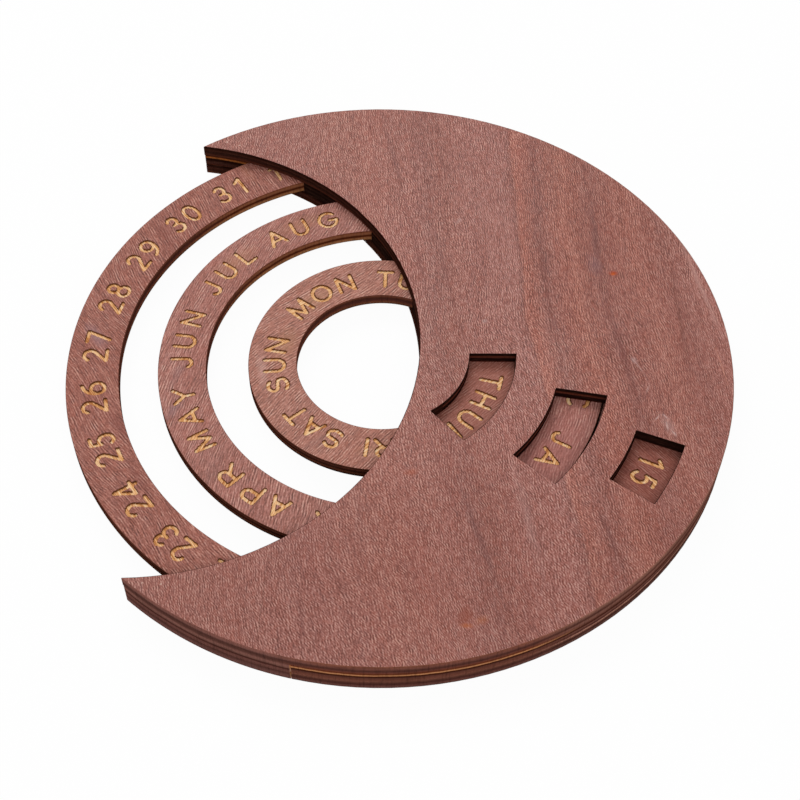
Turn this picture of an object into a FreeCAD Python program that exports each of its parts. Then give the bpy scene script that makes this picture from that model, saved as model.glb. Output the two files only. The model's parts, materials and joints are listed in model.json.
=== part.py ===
"""A perpetual desk calendar of laser-cut plywood, in millimetres.

A crescent casing of three glued sheets holds three flat rings, for the date, the month and
the day of the week. The middle sheet is cut into curved guides, and each ring turns in the
channel between two guides. The rings show through three windows in the cover, and stand out
into the hollow of the crescent, where a finger turns them.

The origin is under the middle of the whole calendar, on the surface that it lies on.
X runs along the crescent's line of symmetry, away from its horns, and Z is up.
"""
import FreeCAD, Part
import math
import os

# Thickness of the sheets
COVER_THICKNESS = 2.8
RING_THICKNESS = 2.8
BACK_THICKNESS = 2.8

# From the middle outwards: a guide, then a ring and a guide by turns, and the rim
DAY_GUIDE_DEPTH = 9.75
DAY_RING_INNER_RADIUS = 18.3
DAY_RING_WIDTH = 10.4
MONTH_DAY_GUIDE_WIDTH = 8.3
MONTH_RING_WIDTH = 10.3
DATE_MONTH_GUIDE_WIDTH = 7.6
DATE_RING_WIDTH = 11.2
RIM_WIDTH = 7.15

# Air round a ring: at its edges, and over its face
RING_EDGE_PLAY = 0.35
RING_FACE_PLAY = 0.2

# Where the horns of the crescent end, about the ring axis
HORN_TIP_ANGLE_DEG = 128.2

# The lower sheets stand back a little from the edge of the cover
LAYER_SETBACK = 0.05

# The windows lie on nearly one bearing, and lap each ring's edges by a little
DAY_WINDOW_BEARING_DEG = -25.6
DAY_WINDOW_HALF_ANGLE_DEG = 27.5
MONTH_WINDOW_BEARING_DEG = -26.2
MONTH_WINDOW_HALF_ANGLE_DEG = 15.0
DATE_WINDOW_BEARING_DEG = -24.65
DATE_WINDOW_HALF_ANGLE_DEG = 6.9
WINDOW_INNER_LAP = 0.4
DAY_WINDOW_INNER_LAP = 0.6
MONTH_WINDOW_OUTER_SPREAD = 0.75
DATE_WINDOW_OUTER_LAP = 0.6

# How far a window's straight sides are turned from radial, each about its inner corner
DAY_WINDOW_LOWER_SKEW_DEG = 9.0
DAY_WINDOW_UPPER_SKEW_DEG = 1.8
MONTH_WINDOW_SKEW_DEG = 4.5

# The two lower sheets are butt-jointed where the horns begin
HORN_JOINT_ANGLE_DEG = 99.4
HORN_JOINT_GAP = 0.06

# How far a cutting tool runs past what it cuts
CUT_OVERRUN = 1.0

# Radii that follow from those above
DAY_GUIDE_RADIUS = DAY_RING_INNER_RADIUS - RING_EDGE_PLAY
DAY_RING_OUTER_RADIUS = DAY_RING_INNER_RADIUS + DAY_RING_WIDTH
MONTH_DAY_GUIDE_INNER_RADIUS = DAY_RING_OUTER_RADIUS + RING_EDGE_PLAY
MONTH_DAY_GUIDE_OUTER_RADIUS = MONTH_DAY_GUIDE_INNER_RADIUS + MONTH_DAY_GUIDE_WIDTH
MONTH_RING_INNER_RADIUS = MONTH_DAY_GUIDE_OUTER_RADIUS + RING_EDGE_PLAY
MONTH_RING_OUTER_RADIUS = MONTH_RING_INNER_RADIUS + MONTH_RING_WIDTH
DATE_MONTH_GUIDE_INNER_RADIUS = MONTH_RING_OUTER_RADIUS + RING_EDGE_PLAY
DATE_MONTH_GUIDE_OUTER_RADIUS = DATE_MONTH_GUIDE_INNER_RADIUS + DATE_MONTH_GUIDE_WIDTH
DATE_RING_INNER_RADIUS = DATE_MONTH_GUIDE_OUTER_RADIUS + RING_EDGE_PLAY
DATE_RING_OUTER_RADIUS = DATE_RING_INNER_RADIUS + DATE_RING_WIDTH
RIM_INNER_RADIUS = DATE_RING_OUTER_RADIUS + RING_EDGE_PLAY
BODY_RADIUS = RIM_INNER_RADIUS + RIM_WIDTH

# The hollow of the crescent leaves the day guide its depth, and its circle passes through
# both horn tips
HOLLOW_REACH = DAY_GUIDE_RADIUS - DAY_GUIDE_DEPTH - LAYER_SETBACK
HORN_TIP_X = BODY_RADIUS * math.cos(math.radians(HORN_TIP_ANGLE_DEG))
HOLLOW_OFFSET = (BODY_RADIUS**2 - HOLLOW_REACH**2) / (2 * (HOLLOW_REACH - HORN_TIP_X))
HOLLOW_RADIUS = HOLLOW_OFFSET + HOLLOW_REACH

# Heights and places that follow
SPACER_THICKNESS = RING_THICKNESS + RING_FACE_PLAY
SPACER_BOTTOM = BACK_THICKNESS
COVER_BOTTOM = SPACER_BOTTOM + SPACER_THICKNESS
RING_AXIS_X = (DATE_RING_OUTER_RADIUS - BODY_RADIUS) / 2
HALF_TURN_DEG = 180.0

RING_AXIS = FreeCAD.Vector(RING_AXIS_X, 0, 0)
UP = FreeCAD.Vector(0, 0, 1)


def disc(radius, bottom, height, centre_x=RING_AXIS_X):
    """A round plate with its lower face at the height called bottom."""
    return Part.makeCylinder(radius, height, FreeCAD.Vector(centre_x, 0, bottom), UP)


def band(inner_radius, outer_radius, bottom, height):
    """A flat ring about the ring axis."""
    hole = disc(inner_radius, bottom - CUT_OVERRUN, height + 2 * CUT_OVERRUN)
    return disc(outer_radius, bottom, height).cut(hole)


def sector(radius, start_deg, end_deg, bottom, height):
    """A slice of a disc about the ring axis, between two bearings."""
    base = FreeCAD.Vector(RING_AXIS_X, 0, bottom)
    slice_solid = Part.makeCylinder(radius, height, base, UP, end_deg - start_deg)
    slice_solid.rotate(RING_AXIS, UP, start_deg)
    return slice_solid


def crescent(setback, bottom, height):
    """The crescent plate, smaller all round by the setback."""
    plate = disc(BODY_RADIUS - setback, bottom, height)
    hollow = disc(
        HOLLOW_RADIUS + setback,
        bottom - CUT_OVERRUN,
        height + 2 * CUT_OVERRUN,
        RING_AXIS_X - HOLLOW_OFFSET,
    )
    return plate.cut(hollow)


def from_point(start, distance, bearing_deg):
    """The point at a distance and a bearing from another, at the same height."""
    turn = math.radians(bearing_deg)
    return start + FreeCAD.Vector(math.cos(turn), math.sin(turn), 0) * distance


def window(inner_radius, outer_radius, side_degs, skew_degs):
    """The cutter for one window, a piece of a ring that runs past both faces of the cover.

    Its straight sides start on its inner edge, and side_degs and skew_degs give the bearing and
    the skew of each."""
    bottom = COVER_BOTTOM - CUT_OVERRUN
    height = COVER_THICKNESS + 2 * CUT_OVERRUN
    centre = FreeCAD.Vector(RING_AXIS_X, 0, bottom)
    corners = [from_point(centre, inner_radius, side_deg) for side_deg in side_degs]
    ends = [
        from_point(corner, BODY_RADIUS, side_deg + skew_deg)
        for corner, side_deg, skew_deg in zip(corners, side_degs, skew_degs)
    ]
    outline = Part.makePolygon([corners[0], ends[0], ends[1], corners[1], corners[0]])
    wedge = Part.Face(outline).extrude(UP * height)
    return band(inner_radius, outer_radius, bottom, height).common(wedge)


def side_bearings(middle_deg, half_angle_deg):
    """The bearings of a window's lower and upper side."""
    return middle_deg - half_angle_deg, middle_deg + half_angle_deg


def horn_zone(side, bottom, height):
    """The space beyond a horn joint, on the side +1 or -1 of the line of symmetry."""
    gap_deg = math.degrees(HORN_JOINT_GAP / BODY_RADIUS)
    near_deg = HORN_JOINT_ANGLE_DEG + gap_deg
    start_deg, end_deg = sorted((side * near_deg, side * HALF_TURN_DEG))
    return sector(BODY_RADIUS + CUT_OVERRUN, start_deg, end_deg, bottom, height)


def main_zone(bottom, height):
    """The space between the two horn joints."""
    return sector(
        BODY_RADIUS + CUT_OVERRUN,
        -HORN_JOINT_ANGLE_DEG,
        HORN_JOINT_ANGLE_DEG,
        bottom,
        height,
    )


def guide_sheet(inner_radius, outer_radius):
    """A curved strip of the middle sheet, cut off along the hollow of the crescent."""
    strip = band(inner_radius, outer_radius, SPACER_BOTTOM, SPACER_THICKNESS)
    return strip.common(crescent(LAYER_SETBACK, SPACER_BOTTOM, SPACER_THICKNESS))


def front_cover():
    """The top sheet, with one window over each ring."""
    day_window = window(
        DAY_RING_INNER_RADIUS + DAY_WINDOW_INNER_LAP,
        DAY_RING_OUTER_RADIUS,
        side_bearings(DAY_WINDOW_BEARING_DEG, DAY_WINDOW_HALF_ANGLE_DEG),
        (DAY_WINDOW_LOWER_SKEW_DEG, DAY_WINDOW_UPPER_SKEW_DEG),
    )
    month_window = window(
        MONTH_RING_INNER_RADIUS + WINDOW_INNER_LAP,
        MONTH_RING_OUTER_RADIUS + MONTH_WINDOW_OUTER_SPREAD,
        side_bearings(MONTH_WINDOW_BEARING_DEG, MONTH_WINDOW_HALF_ANGLE_DEG),
        (MONTH_WINDOW_SKEW_DEG, MONTH_WINDOW_SKEW_DEG),
    )
    date_window = window(
        DATE_RING_INNER_RADIUS + WINDOW_INNER_LAP,
        DATE_RING_OUTER_RADIUS - DATE_WINDOW_OUTER_LAP,
        side_bearings(DATE_WINDOW_BEARING_DEG, DATE_WINDOW_HALF_ANGLE_DEG),
        (0, 0),
    )
    plate = crescent(0, COVER_BOTTOM, COVER_THICKNESS)
    return plate.cut([day_window, month_window, date_window])


def back_sheet():
    """The whole bottom sheet, before its horns are parted from it."""
    return crescent(LAYER_SETBACK, 0, BACK_THICKNESS)


def back_plate():
    """The middle of the bottom sheet, between the two horn joints."""
    return back_sheet().common(main_zone(0, BACK_THICKNESS))


def back_horn(side):
    """The end of the bottom sheet under one horn."""
    return back_sheet().common(horn_zone(side, 0, BACK_THICKNESS))


def rim_sheet():
    """The whole outer strip of the middle sheet, round the date ring."""
    return guide_sheet(RIM_INNER_RADIUS, BODY_RADIUS)


def rim_spacer():
    """The long outer strip between the two horn joints."""
    return rim_sheet().common(main_zone(SPACER_BOTTOM, SPACER_THICKNESS))


def rim_horn(side):
    """The short outer strip in one horn."""
    return rim_sheet().common(horn_zone(side, SPACER_BOTTOM, SPACER_THICKNESS))


def date_month_guide():
    """The strip that parts the date ring from the month ring."""
    return guide_sheet(DATE_MONTH_GUIDE_INNER_RADIUS, DATE_MONTH_GUIDE_OUTER_RADIUS)


def month_day_guide():
    """The strip that parts the month ring from the day ring."""
    return guide_sheet(MONTH_DAY_GUIDE_INNER_RADIUS, MONTH_DAY_GUIDE_OUTER_RADIUS)


def day_guide():
    """The small round-backed piece that the day ring turns about."""
    pad = disc(DAY_GUIDE_RADIUS, SPACER_BOTTOM, SPACER_THICKNESS)
    return pad.common(crescent(LAYER_SETBACK, SPACER_BOTTOM, SPACER_THICKNESS))


def date_ring():
    """The outer ring, which bears the dates."""
    return band(DATE_RING_INNER_RADIUS, DATE_RING_OUTER_RADIUS, SPACER_BOTTOM, RING_THICKNESS)


def month_ring():
    """The middle ring, which bears the months."""
    return band(MONTH_RING_INNER_RADIUS, MONTH_RING_OUTER_RADIUS, SPACER_BOTTOM, RING_THICKNESS)


def day_ring():
    """The inner ring, which bears the days of the week."""
    return band(DAY_RING_INNER_RADIUS, DAY_RING_OUTER_RADIUS, SPACER_BOTTOM, RING_THICKNESS)


def main():
    """Build every piece and write each one to its own file."""
    pieces = {
        "front_cover": front_cover(),
        "back_plate": back_plate(),
        "back_horn_upper": back_horn(1),
        "back_horn_lower": back_horn(-1),
        "rim_spacer": rim_spacer(),
        "rim_horn_upper": rim_horn(1),
        "rim_horn_lower": rim_horn(-1),
        "date_month_guide": date_month_guide(),
        "month_day_guide": month_day_guide(),
        "day_guide": day_guide(),
        "date_ring": date_ring(),
        "month_ring": month_ring(),
        "day_ring": day_ring(),
    }
    os.makedirs("parts", exist_ok=True)
    for name, shape in pieces.items():
        solid_count = len(shape.Solids)
        if solid_count != 1 or not shape.isValid():
            raise ValueError(f"{name} should be one valid solid, but has {solid_count}")
        shape.Solids[0].exportStep(f"parts/{name}.step")
        box = shape.BoundBox
        print(f"{name}: {box.XLength:.2f} x {box.YLength:.2f} x {box.ZLength:.2f} mm")


main()
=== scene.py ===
import json
import math

import bpy
import numpy as np
from mathutils import Matrix, Vector
from mathutils.geometry import delaunay_2d_cdt

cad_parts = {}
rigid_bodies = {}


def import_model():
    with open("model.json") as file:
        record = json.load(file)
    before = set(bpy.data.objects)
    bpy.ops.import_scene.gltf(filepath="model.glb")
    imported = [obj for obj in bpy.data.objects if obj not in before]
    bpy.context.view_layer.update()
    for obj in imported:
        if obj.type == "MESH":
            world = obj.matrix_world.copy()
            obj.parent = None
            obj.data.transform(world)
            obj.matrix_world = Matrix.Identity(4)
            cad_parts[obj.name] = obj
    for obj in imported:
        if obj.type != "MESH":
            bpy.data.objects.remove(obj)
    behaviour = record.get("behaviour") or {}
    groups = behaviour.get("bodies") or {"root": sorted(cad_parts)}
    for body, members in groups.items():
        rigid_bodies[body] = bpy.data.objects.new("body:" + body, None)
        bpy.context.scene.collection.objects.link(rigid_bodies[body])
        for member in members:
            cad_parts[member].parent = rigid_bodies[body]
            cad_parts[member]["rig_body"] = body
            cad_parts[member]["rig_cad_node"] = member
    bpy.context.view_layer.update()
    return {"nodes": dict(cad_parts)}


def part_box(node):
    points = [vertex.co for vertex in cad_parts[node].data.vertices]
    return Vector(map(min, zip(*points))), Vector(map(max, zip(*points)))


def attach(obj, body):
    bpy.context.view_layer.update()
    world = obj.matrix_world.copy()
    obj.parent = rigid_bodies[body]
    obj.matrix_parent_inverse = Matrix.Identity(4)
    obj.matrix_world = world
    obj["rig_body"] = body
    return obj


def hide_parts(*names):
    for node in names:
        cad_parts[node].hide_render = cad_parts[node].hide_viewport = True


bl_info = {
    "name": "Perpetual Desk Calendar",
    "version": (1, 0, 0),
    "blender": (4, 5, 0),
    "location": "3D View > Sidebar > Calendar",
    "description": "Dresses a packed ring calendar: stained veneer, burnt edges, engraved words",
    "category": "Object",
}

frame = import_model()
MM = 0.001
FULL_TURN = 360.0


def ring_radii(node):
    """Inner and outer radius of a ring node about its own axis, in metres."""
    low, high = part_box(node)
    centre_x = (low.x + high.x) / 2
    reach = [math.hypot(v.co.x - centre_x, v.co.y) for v in frame["nodes"][node].data.vertices]
    return min(reach), max(reach)


RING_AXIS_X = sum(corner.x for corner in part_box("date_ring")) / 2
# The casing's cuts are told apart by place: the rim by its radius about the ring axis, the horn
# joints by their bearing about it, and the windows by their x. A face counts as flat by its normal.
RIM_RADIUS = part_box("rim_spacer")[1].x - RING_AXIS_X
RIM_FACE_DEPTH = 0.0004
HORN_JOINT_BEARING = 99.4
JOINT_FACE_DEG = 0.15
WINDOWS_FROM_X = 0.010
FLAT_NORMAL = 0.97

# The words and numbers, and where they stand round each ring. Bearings are in degrees about the
# ring axis; the text reads clockwise, tops outwards. Between two anchors the numbers are spread
# evenly.
DATE_ANCHORS = ((1, 478.1), (9, 411.35), (10, 400.8), (15, 336.2), (23, 232.1), (31, 128.75))
DATE_CELL_DEG = 4.52
MONTH_BEARINGS = {
    "JAN": 326.3, "FEB": 297.4, "MAR": 266.95, "APR": 236.2, "MAY": 205.4, "JUN": 176.1,
    "JUL": 147.5, "AUG": 119.2, "SEP": 89.2, "OCT": 59.4, "NOV": 28.5, "DEC": 358.1,
}
DAY_BEARINGS = {
    "SUN": 187.2, "MON": 130.25, "TUE": 79.7, "WED": 28.85, "THUR": 329.2, "FRI": 278.3,
    "SAT": 235.4,
}
# One word stands a little further out and wider than the others: radius and spacing added, in mm.
LOOSE_WORDS = {"THUR": (0.85, 0.30)}
# A curved stroke has a point at least this often.
ARC_STEP_DEG = 13.0


def arc(cx, cy, rx, ry, start, end):
    """Points of a part of an oval, from one angle to the other, in cap heights."""
    count = max(3, math.ceil(abs(end - start) / ARC_STEP_DEG))
    angles = [math.radians(start + (end - start) * i / count) for i in range(count + 1)]
    return [(cx + rx * math.cos(a), cy + ry * math.sin(a)) for a in angles]


def oval(cx, cy, rx, ry):
    """A closed oval: its last point is its first."""
    return arc(cx, cy, rx, ry, 0.0, FULL_TURN)


def half_turned(strokes):
    """The same strokes turned upside down, as a 9 is a 6."""
    return [[(-x, 1.0 - y) for x, y in stroke] for stroke in strokes]


SIX = [
    arc(0.28, 0.38, 0.57, 0.61, 101.0, 184.0) + arc(0.0, 0.3, 0.29, 0.3, 176.0, 180.0),
    oval(0.0, 0.3, 0.29, 0.3),
]
# Digits stand in cells of one width, with x from the middle of the cell.
DIGITS = {
    "0": [oval(0.0, 0.5, 0.29, 0.5)],
    "1": [[(-0.165, 0.77), (0.12, 1.0), (0.12, 0.0)]],
    "2": [arc(-0.015, 0.72, 0.265, 0.28, 163.0, -38.0) + [(-0.29, 0.0), (0.29, 0.0)]],
    "3": [arc(-0.02, 0.76, 0.22, 0.24, 152.0, -90.0) + [(-0.1, 0.52)],
          [(-0.1, 0.52)] + arc(-0.02, 0.26, 0.275, 0.26, 90.0, -150.0)],
    "4": [[(0.13, 0.0), (0.13, 1.0), (-0.34, 0.21), (0.32, 0.21)]],
    "5": [[(0.2, 1.0), (-0.14, 1.0), (-0.19, 0.56)]
          + arc(-0.02, 0.32, 0.265, 0.32, 128.0, -142.0)],
    "6": SIX,
    "7": [[(-0.29, 1.0), (0.29, 1.0), (-0.07, 0.0)]],
    "8": [oval(0.0, 0.76, 0.225, 0.24), oval(0.0, 0.26, 0.28, 0.26)],
    "9": half_turned(SIX),
}
# Letters: width, room left and right of it in mm, and the strokes with x from their left side.
LETTERS = {
    "A": (0.85, 0.1, 0.1, [[(0.0, 0.0), (0.425, 1.0), (0.85, 0.0)], [(0.13, 0.3), (0.72, 0.3)]]),
    "B": (0.73, 0.5, 0.4, [
        [(0.0, 0.0), (0.0, 1.0)],
        [(0.0, 1.0), (0.4, 1.0)] + arc(0.4, 0.755, 0.26, 0.245, 90.0, -90.0) + [(0.0, 0.51)],
        [(0.4, 0.51)] + arc(0.42, 0.255, 0.31, 0.255, 90.0, -90.0) + [(0.0, 0.0)]]),
    "C": (0.82, 0.4, 0.4, [arc(0.48, 0.5, 0.48, 0.5, 46.0, 314.0)]),
    "D": (0.82, 0.5, 0.4, [
        [(0.0, 0.0), (0.0, 1.0), (0.34, 1.0)] + arc(0.34, 0.5, 0.48, 0.5, 90.0, -90.0)
        + [(0.0, 0.0)]]),
    "E": (0.62, 0.5, 0.4, [
        [(0.6, 1.0), (0.0, 1.0), (0.0, 0.0), (0.62, 0.0)], [(0.0, 0.52), (0.55, 0.52)]]),
    "F": (0.58, 0.5, 0.1, [[(0.58, 1.0), (0.0, 1.0), (0.0, 0.0)], [(0.0, 0.52), (0.5, 0.52)]]),
    "G": (0.98, 0.4, 0.5, [arc(0.49, 0.5, 0.49, 0.5, 46.0, 352.0) + [(0.97, 0.47), (0.56, 0.47)]]),
    "H": (0.72, 0.6, 0.6, [
        [(0.0, 0.0), (0.0, 1.0)], [(0.72, 0.0), (0.72, 1.0)], [(0.0, 0.52), (0.72, 0.52)]]),
    "I": (0.0, 0.5, 0.5, [[(0.0, 0.0), (0.0, 1.0)]]),
    "J": (0.5, 0.3, 0.5, [[(0.5, 1.0), (0.5, 0.27)] + arc(0.23, 0.26, 0.27, 0.26, 0.0, -160.0)]),
    "L": (0.6, 0.5, 0.2, [[(0.0, 1.0), (0.0, 0.0), (0.6, 0.0)]]),
    "M": (0.96, 0.5, 0.5, [[(0.0, 0.0), (0.045, 1.0), (0.48, 0.03), (0.915, 1.0), (0.96, 0.0)]]),
    "N": (0.79, 0.5, 0.5, [[(0.0, 0.0), (0.0, 1.0), (0.79, 0.0), (0.79, 1.0)]]),
    "O": (0.96, 0.4, 0.4, [oval(0.48, 0.5, 0.48, 0.5)]),
    "P": (0.77, 0.5, 0.25, [
        [(0.0, 0.0), (0.0, 1.0), (0.47, 1.0)] + arc(0.47, 0.72, 0.3, 0.28, 90.0, -90.0)
        + [(0.0, 0.44)]]),
    "R": (0.86, 0.5, 0.15, [
        [(0.0, 0.0), (0.0, 1.0), (0.49, 1.0)] + arc(0.49, 0.73, 0.3, 0.27, 90.0, -90.0)
        + [(0.0, 0.46)],
        [(0.46, 0.46), (0.86, 0.0)]]),
    "S": (0.76, 0.4, 0.4, [
        arc(0.39, 0.745, 0.32, 0.255, 28.0, 232.0) + arc(0.38, 0.26, 0.37, 0.26, 52.0, -152.0)]),
    "T": (0.76, 0.0, 0.0, [[(0.0, 1.0), (0.76, 1.0)], [(0.38, 1.0), (0.38, 0.0)]]),
    "U": (0.74, 0.5, 0.5, [
        [(0.0, 1.0), (0.0, 0.38)] + arc(0.37, 0.38, 0.37, 0.38, 180.0, 360.0) + [(0.74, 1.0)]]),
    "V": (0.85, 0.0, 0.0, [[(0.0, 1.0), (0.425, 0.0), (0.85, 1.0)]]),
    "W": (1.2, 0.0, 0.0, [[(0.0, 1.0), (0.3, 0.0), (0.6, 1.0), (0.9, 0.0), (1.2, 1.0)]]),
    "Y": (0.85, -0.1, -0.1, [
        [(0.0, 1.0), (0.425, 0.46), (0.85, 1.0)], [(0.425, 0.46), (0.425, 0.0)]]),
}

# Points closer than this are one point, and a distance to a stroke may be out by this slack.
SAME_POINT_MM = 0.01
GAP_SLACK_MM = 0.004
# The laser's raster leaves a stroke's sides ragged, in steps of about a third of a millimetre. The
# waves that move them have a pace across and up, in radians per mm, and a start.
RASTER_STEP_MM = 0.30
RAGGED_MM = 0.05
RAGGED_WAVES = ((7.9, 2.3, 0.4), (-3.1, 8.7, 2.1), (11.3, -6.1, 4.4), (5.2, 12.4, 1.3))


def stepped(points):
    """A stroke's points with more put between them, no further apart than the raster's steps."""
    fine = [points[:1]]
    for a, b in zip(points[:-1], points[1:]):
        count = max(1, math.ceil(np.linalg.norm(b - a) / RASTER_STEP_MM))
        fine.append(a + (b - a) * np.linspace(0.0, 1.0, count + 1)[1:, None])
    return np.concatenate(fine)


def ragged(points):
    """Points in mm moved a little this way and that, the same for all that lie close together."""
    moved = np.array(points)
    for across, up, start in RAGGED_WAVES:
        wave = RAGGED_MM * np.sin(points @ np.array((across, up)) + start) / math.hypot(across, up)
        moved += wave[:, None] * np.array((-up, across))
    return moved


def set_on_ring(strokes, bearing, baseline, cap):
    """Strokes in cap heights, put on a ring at a bearing: points in mm about the ring axis."""
    turn = math.radians(bearing)
    out = np.array((math.cos(turn), math.sin(turn)))
    along = np.array((math.sin(turn), -math.cos(turn)))
    placed = []
    for stroke in strokes:
        points = np.array(stroke, float) * cap
        steps = np.linalg.norm(np.diff(points, axis=0), axis=1)
        points = stepped(points[np.concatenate([[True], steps > SAME_POINT_MM])])
        placed.append(out * (baseline + points[:, 1:2]) + along * points[:, 0:1])
    return placed


def date_strokes(settings):
    """The numbers 1 to 31, in cells of one width."""
    numbers, bearings = zip(*DATE_ANCHORS)
    baseline, cap = settings.date_baseline / MM, settings.date_cap / MM
    strokes = []
    for number in range(1, 32):
        middle = float(np.interp(number, numbers, bearings))
        digits = str(number)
        for place, digit in enumerate(digits):
            bearing = middle + DATE_CELL_DEG * ((len(digits) - 1) / 2 - place)
            strokes += set_on_ring(DIGITS[digit], bearing, baseline, cap)
    return strokes


def word_strokes(words, baseline, cap, spacing, stroke_width):
    """Words of spaced capitals, each centred on its bearing along the baseline."""
    strokes = []
    for word, middle in words.items():
        outwards, wider = LOOSE_WORDS.get(word, (0.0, 0.0))
        radius = baseline + outwards
        left, lefts, room_before = 0.0, [], 0.0
        for letter in word:
            width, room_left, room_right, _ = LETTERS[letter]
            if lefts:
                left += room_before + room_left + spacing + wider
            lefts.append(left)
            left += width * cap + stroke_width
            room_before = room_right
        for letter, start in zip(word, lefts):
            width = LETTERS[letter][0]
            from_middle = start + (width * cap + stroke_width) / 2 - left / 2
            bearing = middle - math.degrees(from_middle / radius)
            centred = [[(x - width / 2, y) for x, y in stroke] for stroke in LETTERS[letter][3]]
            strokes += set_on_ring(centred, bearing, radius, cap)
    return strokes


def month_strokes(settings):
    return word_strokes(MONTH_BEARINGS, settings.month_baseline / MM, settings.word_cap / MM,
                        settings.month_spacing / MM, settings.stroke_width / MM)


def day_strokes(settings):
    return word_strokes(DAY_BEARINGS, settings.day_baseline / MM, settings.word_cap / MM,
                        0.0, settings.stroke_width / MM)


# The engraved face of a ring. Modelling by hand can't cut about sixty round-ended strokes with a
# flat floor, a steep burnt wall and a scorched margin, so this one sheet of faces is worked out.

# A stroke's round ends and sharp corners.
CAP_STEPS = 6
SHARP_TURN = math.radians(35.0)
# The ends of a groove's level floor, its foot and its lip, in half widths of the stroke.
GROOVE_REACHES = (0.45, 0.92, 1.06)
# How burnt a stroke's lee side is, against 1 on the side that the air jet blew the smoke to. A
# groove's foot also gets more painted shade on that side.
LEE_BURN = 0.2
# How burnt a groove is at those three reaches, and at the end of its margin. The value at the foot
# also sets the painted shade in the floor's corner along the wall.
GROOVE_BURN_AND_SHADE = (0.0, 0.8, 1.0, 0.0)
# The materials of a ring, in the order of its slots.
RING_FINISHES = ("veneer", "outside", "inside", "floor", "wall")
# Points that the triangulation takes as one, and how close to its hole a face of it may stay.
TRIANGULATION_SLACK_MM = 1e-4
HOLE_SLACK_MM = 1e-3
# How far the nearest stroke is looked for, against the end of its burnt margin.
LOOKED_PAST = 1.2


def unit(v):
    return v / np.linalg.norm(v)


def side_line(points, reach):
    """The line at one distance left of an open stroke, with its round end, as a list of points."""
    ways = [unit(b - a) for a, b in zip(points[:-1], points[1:])]
    lefts = [np.array((-w[1], w[0])) for w in ways]
    line = []
    for i in range(1, len(points) - 1):
        before, after = ways[i - 1], ways[i]
        turn = math.atan2(before[0] * after[1] - before[1] * after[0], before @ after)
        if abs(turn) < SHARP_TURN:
            line.append(points[i] + unit(lefts[i - 1] + lefts[i]) * reach / math.cos(turn / 2))
        elif turn > 0:
            line += [points[i] + lefts[i - 1] * reach, points[i] + lefts[i] * reach]
        else:
            start = math.atan2(lefts[i - 1][1], lefts[i - 1][0])
            steps = max(2, math.ceil(-turn / math.pi * CAP_STEPS))
            for k in range(steps + 1):
                a = start + turn * k / steps
                line.append(points[i] + reach * np.array((math.cos(a), math.sin(a))))
    start = math.atan2(lefts[-1][1], lefts[-1][0])
    for k in range(CAP_STEPS + 1):
        a = start - math.pi * k / CAP_STEPS
        line.append(points[-1] + reach * np.array((math.cos(a), math.sin(a))))
    return line


def stroke_outlines(points, reach):
    """Closed outlines of all that lies within a distance of a stroke."""
    if np.allclose(points[0], points[-1]):
        ring = points[:-1]
        before, after = np.roll(ring, 1, axis=0), np.roll(ring, -1, axis=0)
        ways = after - before
        lefts = np.stack([-ways[:, 1], ways[:, 0]], 1)
        lefts /= np.linalg.norm(lefts, axis=1)[:, None]
        return [ring + lefts * reach, ring - lefts * reach]
    return [np.array(side_line(points, reach) + side_line(points[::-1], reach))]


def nearest_stroke(strokes, points, most):
    """How far each point is from the nearest stroke in mm, and which way. Points further off than
    the most that is looked for get a larger distance."""
    found = np.full(len(points), most * 4.0)
    ways = np.zeros((len(points), 2))
    for stroke in strokes:
        low, high = stroke.min(0) - most, stroke.max(0) + most
        near = np.where(np.all((points > low) & (points < high), axis=1))[0]
        if not len(near):
            continue
        p = points[near][:, None, :]
        a, b = stroke[None, :-1], stroke[None, 1:]
        along = np.clip(((p - a) * (b - a)).sum(2) / ((b - a) ** 2).sum(2), 0.0, 1.0)
        offset = p - (a + along[..., None] * (b - a))
        gaps = np.linalg.norm(offset, axis=2)
        rows, best = np.arange(len(near)), gaps.argmin(1)
        gap = gaps[rows, best]
        closer = gap < found[near]
        found[near[closer]] = gap[closer]
        ways[near[closer]] = (offset[rows, best] / np.maximum(gap, SAME_POINT_MM)[:, None])[closer]
    return found, ways


def groove_levels(settings):
    """How far from a stroke's middle its level floor, foot, lip and burnt margin end, in mm."""
    half = settings.stroke_width / MM / 2
    floor_end, foot, lip = (half * reach for reach in GROOVE_REACHES)
    return floor_end, foot, lip, lip + settings.burn_width / MM


def stroked_sheet(inner, outer, steps, strokes, levels):
    """A flat ring cut along every stroke's outlines into triangles: points in mm, and faces."""
    points, edges = [], []

    def add_loop(loop):
        first = len(points)
        points.extend(Vector((float(x), float(y))) for x, y in loop)
        edges.extend((first + i, first + (i + 1) % len(loop)) for i in range(len(loop)))

    angles = np.arange(steps) * 2 * math.pi / steps
    circle = np.stack([np.cos(angles), np.sin(angles)], 1)
    add_loop(circle * inner)
    add_loop(circle * outer)
    for stroke in strokes:
        for reach in levels:
            for loop in stroke_outlines(stroke, reach):
                add_loop(loop)
    found = delaunay_2d_cdt(points, edges, [], 0, TRIANGULATION_SLACK_MM)
    flat = np.array([tuple(v) for v in found[0]])
    faces = np.array(found[2])
    middle = np.linalg.norm(flat[faces].mean(1), axis=1)
    corner = np.linalg.norm(flat, axis=1)[faces]
    return flat, faces[(middle > inner) & (corner.max(1) > inner + HOLE_SLACK_MM)]


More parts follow.
